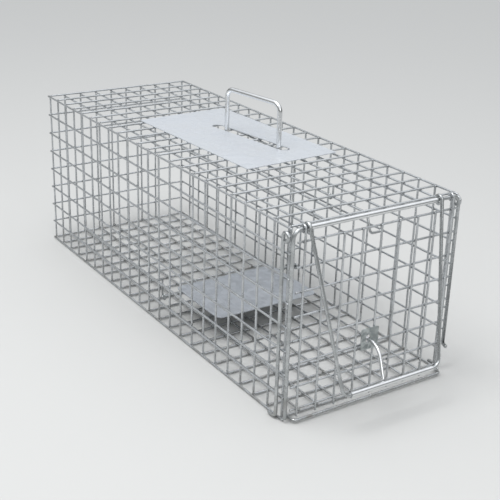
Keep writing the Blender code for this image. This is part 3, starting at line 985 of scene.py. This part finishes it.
@dataclass
class Bail:
    """The lock bail that hangs on the hoop, and the tube on its bar."""

    wardrobe: Wardrobe
    wire: float = 0.0019
    eye: float = 0.00425
    lean: float = 14.8
    bend: float = 0.0090
    foot_half: float = 0.0610

    def build(self) -> None:
        """Build the bail and its tube."""
        low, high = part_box("lock_bail")
        hinge, bar = middle_of("hinge_sleeve"), middle_of("bail_tube")
        tops = (low.x + self.wire, high.x - self.wire)
        eyes = [ring(Vector((x, hinge.y, hinge.z)), self.eye, 180 - self.lean, -265,
                     Y_AXIS, Z_AXIS) for x in tops]
        legs = bent([eyes[0][0], bar - X_AXIS * self.foot_half, bar + X_AXIS * self.foot_half,
                     eyes[1][0]], self.bend)
        path = eyes[0][:0:-1] + legs + eyes[1][1:]
        self.wardrobe.dress(rod("lock_bail_rod", path, self.wire), FRAME_ZINC, Body.BAIL,
                            "lock_bail")
        tube = sleeve("bail_tube_sleeve", "bail_tube")
        self.wardrobe.dress(tube, BRIGHT_ZINC, Body.BAIL, "bail_tube")


# ---------------------------------------------------------------- roof fittings


@dataclass
class RoofFittings:
    """The guard plate on the roof and the carry handle that stands in its slot."""

    wardrobe: Wardrobe
    plate_size: tuple[float, float] = (0.1240, 0.2290)
    plate_turn: float = 2.5
    slot_size: tuple[float, float] = (0.0130, 0.1320)
    slot_offset: tuple[float, float] = (0.0127, -0.0143)
    slot_turn: float = 8.0
    handle_x: tuple[float, float] = (0.0166, 0.0290)
    handle_wire: float = 0.00284
    handle_bends: tuple[float, float] = (0.0050, 0.0100)
    handle_foot: float = 0.0140

    def build(self) -> None:
        """Build the plate and the handle."""
        low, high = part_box("guard_plate")
        edge = turned(round_box(*self.plate_size, 0.002, 4), self.plate_turn)
        slot = turned(round_box(*self.slot_size, self.slot_size[0] * 0.49), self.slot_turn)
        plate = sheet("guard_plate_sheet", [edge, shifted(slot, *self.slot_offset)],
                      high.z - low.z, Plane.LEVEL, middle_of("guard_plate"), SHEET_EDGE)
        self.wardrobe.dress(plate, SHEET_ZINC, Body.FRAME, "guard_plate")
        self._handle()

    def _handle(self) -> None:
        """The handle, with feet that catch under the roof's cross wires."""
        low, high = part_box("carry_handle")
        (back_x, front_x), foot = self.handle_x, self.handle_foot
        back, front = high.y - foot, low.y + foot
        foot_z, grip_z = low.z + self.handle_wire, high.z - self.handle_wire
        small, large = self.handle_bends
        path = bent([(back_x, back + foot, foot_z), (back_x, back, foot_z),
                     (back_x, back, grip_z), (front_x, front, grip_z),
                     (front_x, front, foot_z), (front_x, front - foot, foot_z)],
                    [small, large, large, small])
        self.wardrobe.dress(rod("carry_handle_rod", path, self.handle_wire, 24), BRIGHT_ZINC,
                            Body.FRAME, "carry_handle")


# ---------------------------------------------------------------- treadle and trigger


@dataclass
class Treadle:
    """The treadle plate, its axle, its lever arm and the axle's brackets."""

    wardrobe: Wardrobe
    axle_wire: float = 0.0020
    bracket_wire: float = 0.0012
    bracket_eye: float = 0.0036
    arm_wire: float = 0.0014
    arm_eye: float = 0.0038

    def build(self) -> None:
        """Build every piece of the treadle."""
        low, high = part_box("treadle_plate")
        plate = sheet("treadle_plate_sheet", [round_box(high.x - low.x, high.y - low.y, 0.008)],
                      high.z - low.z, Plane.LEVEL, middle_of("treadle_plate"), SHEET_EDGE)
        self.wardrobe.dress(plate, TREADLE_ZINC, Body.TREADLE, "treadle_plate")
        low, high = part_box("treadle_axle")
        axle = middle_of("treadle_axle")
        path = [Vector((x, axle.y, axle.z)) for x in (low.x, 0.0, high.x)]
        self.wardrobe.dress(rod("treadle_axle_rod", path, self.axle_wire), FRAME_ZINC,
                            Body.TREADLE, "treadle_axle")
        for name in ("axle_strap_left", "axle_strap_right"):
            self.wardrobe.coat(name, DULL_ZINC)
        self._arm(axle)
        for name, side in (("axle_bracket_left", -1), ("axle_bracket_right", 1)):
            self._bracket(name, side, axle)

    def _arm(self, axle: Vector) -> None:
        """The lever arm that rises from the axle."""
        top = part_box("lever_arm")[1].z
        middle = Vector((middle_of("lever_arm").x, axle.y, axle.z))
        path = ring(middle, self.arm_eye, 435, -255, Y_AXIS, Z_AXIS)
        path.append(Vector((middle.x, axle.y - self.arm_eye, top)))
        self.wardrobe.dress(rod("lever_arm_rod", path, self.arm_wire), FRAME_ZINC,
                            Body.TREADLE, "lever_arm")

    def _bracket(self, name: str, side: int, axle: Vector) -> None:
        """A wire bracket that holds one end of the axle.

        Args:
            name: The solid's name.
            side: -1 for the left and 1 for the right.
            axle: The axle's middle.
        """
        low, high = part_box(name)
        x = (high.x - self.bracket_wire) if side < 0 else (low.x + self.bracket_wire)
        out = low.x if side < 0 else high.x
        top, y = high.z - self.bracket_wire, axle.y + self.bracket_eye
        curl = ring(Vector((x, axle.y, axle.z)), self.bracket_eye, -255, 255, Y_AXIS, Z_AXIS)
        stem = bent([curl[-1], (x, y, top), (out, y, top)], SMALL_BEND)
        self.wardrobe.dress(rod(f"{name}_rod", curl[:-1] + stem, self.bracket_wire * ROUND_SHARE),
                            FRAME_ZINC, Body.FRAME, name)


@dataclass
class Trigger:
    """The trigger rod that slides under the roof, and its two guides."""

    wardrobe: Wardrobe
    wire: float = 0.0013
    eye: float = 0.0032
    run_z: float = 0.1930
    front: float = 0.0080
    hook_drop: float = 0.0190
    hook_side: float = 0.0140
    hook_lip: float = 0.0060
    guide_wire: float = 0.0011
    guide_eye: float = 0.0029
    axle_wire: float = 0.0020
    eye_step: float = 0.0038

    def build(self) -> None:
        """Build the rod and its guides."""
        rod_x = middle_of("trigger_guide_rear").x
        hook_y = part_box("trigger_rod")[0].y + self.wire
        eye = Vector((middle_of("lever_arm").x,
                      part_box("treadle_axle")[0].y + self.axle_wire - self.eye_step, self.run_z))
        back = eye.y - self.eye
        z = self.run_z - self.hook_drop
        path = bent([(rod_x + self.hook_side, hook_y, z + self.hook_lip),
                     (rod_x + self.hook_side, hook_y, z), (rod_x, hook_y, z),
                     (rod_x, hook_y + self.front, self.run_z), (rod_x, back, self.run_z),
                     (eye.x, back, self.run_z)], SMALL_BEND)
        path = path[:-1] + ring(eye, self.eye, -90, 255, X_AXIS, Y_AXIS)
        self.wardrobe.dress(rod("trigger_rod_wire", path, self.wire), FRAME_ZINC, Body.TRIGGER,
                            "trigger_rod")
        for name in ("trigger_guide_front", "trigger_guide_rear"):
            middle = middle_of(name)
            eye = Vector((middle.x, middle.y, self.run_z))
            path = ring(eye, self.guide_eye, -255, 255, X_AXIS, Z_AXIS)
            path.append(Vector((middle.x + self.guide_eye, middle.y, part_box(name)[1].z)))
            self.wardrobe.dress(rod(f"{name}_wire", path, self.guide_wire), FRAME_ZINC,
                                Body.FRAME, name)


# ---------------------------------------------------------------- studio


@dataclass
class Studio:
    """The pale floor, the soft lights and the camera."""

    lens: float = 72.92
    turn: float = -33.821
    rise: float = 22.209
    roll: float = 1.83
    eye: tuple[float, float, float] = (-0.615495, -0.954277, 0.534257)
    sensor: float = 36.0
    sight: float = 100.0
    floor_tone: Colour = (0.50, 0.50, 0.49)
    floor_roughness: float = 0.85
    floor_side: float = 80.0
    floor_z: float = -0.0005
    ceiling: float = 1.5
    walls: tuple[float, Colour] = (0.18, (0.12, 0.125, 0.12))
    top: tuple[float, Colour] = (0.85, (0.95, 0.97, 1.0))

    def build(self) -> None:
        """Set the whole studio up."""
        self._camera()
        self._floor()
        self._sky()
        self._light("key", (-0.6, -0.1, 1.7), 0.9, 17.0)
        self._light("fill", (-0.2, -1.9, 1.0), 0.7, 5.0)
        bpy.context.scene.view_settings.view_transform = "Standard"

    def _camera(self) -> None:
        """Put the camera in front of the door end, to the left and above."""
        a, e, r = (math.radians(v) for v in (self.turn, self.rise, self.roll))
        back = Vector((math.sin(a) * math.cos(e), -math.cos(a) * math.cos(e), math.sin(e)))
        right = Vector((math.cos(a), math.sin(a), 0))
        up = back.cross(right)
        across = right * math.cos(r) + up * math.sin(r)
        rise = up * math.cos(r) - right * math.sin(r)
        data = bpy.data.cameras.new("camera")
        data.lens = self.lens
        data.sensor_width = self.sensor
        data.clip_end = self.sight
        camera = bpy.data.objects.new("camera", data)
        camera.matrix_world = Matrix.Translation(self.eye) @ Matrix(
            (across, rise, back)).transposed().to_4x4()
        bpy.context.scene.collection.objects.link(camera)
        bpy.context.scene.camera = camera

    def _floor(self) -> None:
        """Lay the pale floor."""
        bpy.ops.mesh.primitive_plane_add(size=self.floor_side, location=(0, 0, self.floor_z))
        floor = bpy.context.object
        floor.name = "floor"
        material = bpy.data.materials.new("floor_paint")
        material.use_nodes = True
        shader = material.node_tree.nodes["Principled BSDF"]
        shader.inputs["Base Color"].default_value = (*self.floor_tone, 1.0)
        shader.inputs["Roughness"].default_value = self.floor_roughness
        floor.data.materials.append(material)

    def _sky(self) -> None:
        """Light the room with a soft ceiling that darkens towards the walls."""
        world = bpy.data.worlds.new("room")
        world.use_nodes = True
        bpy.context.scene.world = world
        nodes, link = world.node_tree.nodes, world.node_tree.links.new
        place = nodes.new("ShaderNodeTexCoord")
        split = nodes.new("ShaderNodeSeparateXYZ")
        ramp = nodes.new("ShaderNodeValToRGB")
        for stop, (height, tone) in zip(ramp.color_ramp.elements, (self.walls, self.top)):
            stop.position = height
            stop.color = (*tone, 1)
        link(place.outputs["Generated"], split.inputs["Vector"])
        link(split.outputs["Z"], ramp.inputs["Fac"])
        link(ramp.outputs["Color"], nodes["Background"].inputs["Color"])
        nodes["Background"].inputs["Strength"].default_value = self.ceiling

    @staticmethod
    def _light(name: str, place: tuple[float, float, float], size: float,
               power: float) -> None:
        """Add a soft square light that looks at the trap.

        Args:
            name: The light's name.
            place: Where it stands.
            size: The side of its square.
            power: Its power in watts.
        """
        data = bpy.data.lights.new(name, "AREA")
        data.size = size
        data.energy = power
        light = bpy.data.objects.new(name, data)
        light.location = place
        light.rotation_euler = (-Vector(place)).to_track_quat("-Z", "Y").to_euler()
        bpy.context.scene.collection.objects.link(light)


def main() -> None:
    """Build the trap's looks in order."""
    logging.basicConfig(level=logging.INFO, format="%(name)s: %(message)s")
    wardrobe = Wardrobe()
    Studio().build()
    for part in (Cage(wardrobe), FrontFrame(wardrobe), Door(wardrobe), Bail(wardrobe),
                 RoofFittings(wardrobe), Treadle(wardrobe), Trigger(wardrobe)):
        part.build()
        LOG.info("built %s", type(part).__name__)


if __name__ == "__main__":
    main()
